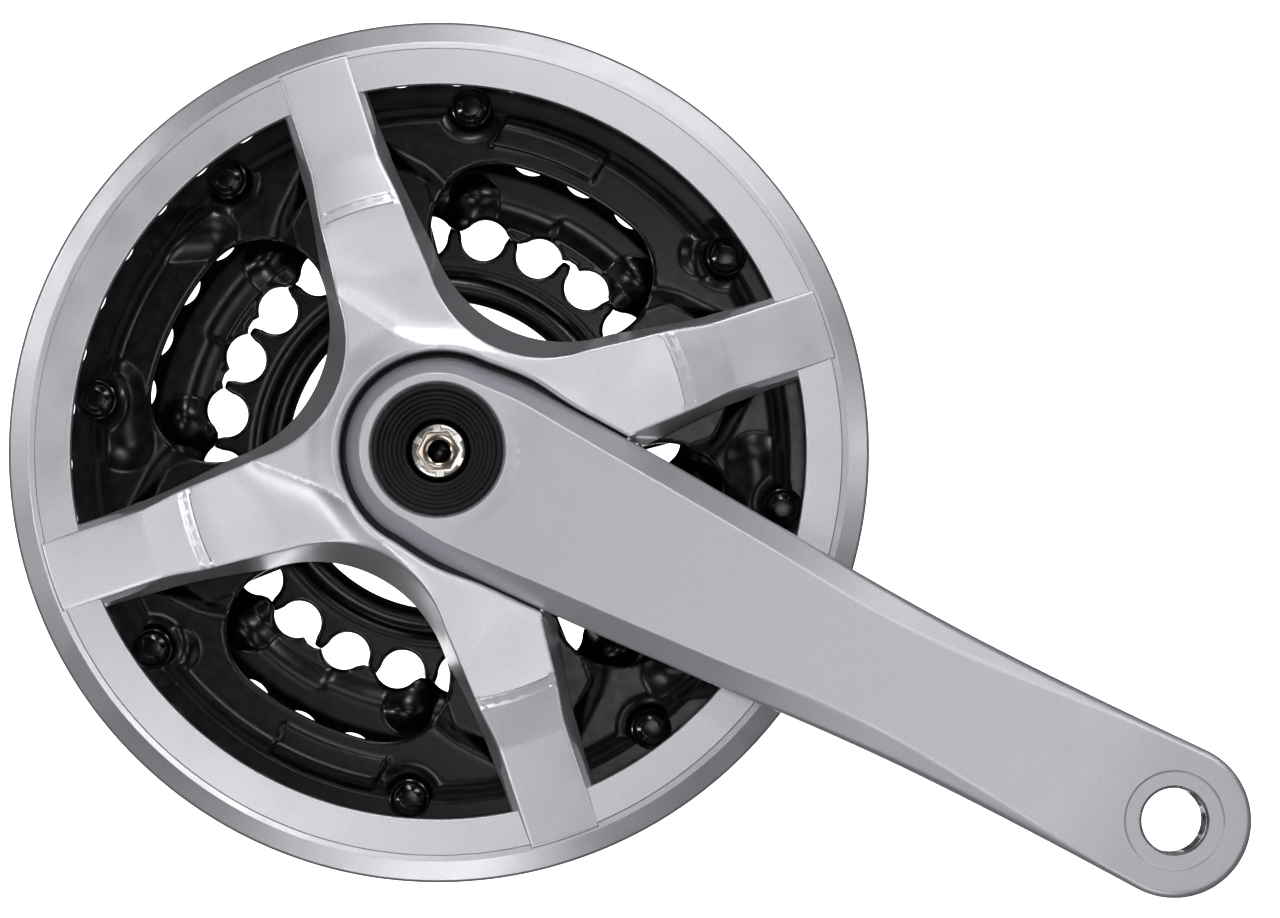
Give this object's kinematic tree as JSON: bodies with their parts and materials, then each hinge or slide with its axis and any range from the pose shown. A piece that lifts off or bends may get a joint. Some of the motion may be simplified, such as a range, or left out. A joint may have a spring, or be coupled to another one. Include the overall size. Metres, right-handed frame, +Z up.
{
  "type": "bicycle crankset",
  "caption": "Right-hand bicycle crankset: a silver crank arm on a square taper boss, black riveted chainrings, a silver plastic chain guard and a capped fixing bolt.",
  "frame": {"origin": "on the spindle's axis, at the inboard face of the arm's boss", "axes": "+Y along the spindle's axis towards the bicycle's frame, so -Y is the outboard side; +X along the crank arm from the spindle to the pedal; +Z up"},
  "size_m": [0.2844, 0.0498, 0.186],
  "materials": {
    "arm": "forged aluminium with satin silver paint, slightly lavender",
    "guard": "moulded resin with satin silver paint",
    "ring_black": "stamped steel with a semi-gloss black electro-coat",
    "rivet_black": "steel with the rings' black coat",
    "bright_steel": "bright plated steel",
    "cap_resin": "matt black moulded resin"
  },
  "bodies": {
    "root": {"crank_arm": "arm", "chain_guard": "guard", "outer_chainring": "ring_black", "middle_chainring": "ring_black", "inner_chainring": "ring_black", "guard_screw_1": "bright_steel", "guard_screw_2": "bright_steel", "guard_screw_3": "bright_steel", "guard_screw_4": "bright_steel", "shift_pin_1": "rivet_black", "shift_pin_2": "rivet_black", "shift_pin_3": "rivet_black", "shift_pin_4": "rivet_black", "shift_pin_5": "rivet_black", "shift_pin_6": "rivet_black", "shift_pin_7": "rivet_black", "shift_pin_8": "rivet_black", "ring_rivet_1": "rivet_black", "ring_rivet_2": "rivet_black", "ring_rivet_3": "rivet_black", "ring_rivet_4": "rivet_black", "inner_ring_rivet_1": "rivet_black", "inner_ring_rivet_2": "rivet_black", "inner_ring_rivet_3": "rivet_black", "inner_ring_rivet_4": "rivet_black", "inner_ring_spacer_1": "bright_steel", "inner_ring_spacer_2": "bright_steel", "inner_ring_spacer_3": "bright_steel", "inner_ring_spacer_4": "bright_steel"},
    "cap_carriage": {"dust_cap": "cap_resin", "bolt_washer": "bright_steel"},
    "bolt": {"crank_bolt": "bright_steel"}
  },
  "joints": [
    {"name": "bolt_travel", "type": "slide", "parent": "root", "child": "cap_carriage", "axis": [0, -1, 0], "range_m": [0, 0.016]},
    {"name": "bolt_turn", "type": "hinge", "parent": "cap_carriage", "child": "bolt", "pos_m": [0, -0.02, 0], "axis": [0, -1, 0], "range_deg": [0, 5760]}
  ],
  "couplings": [
    {"joint": "bolt_travel", "follows": "bolt_turn", "m_per_rad": 0.00015915}
  ]
}
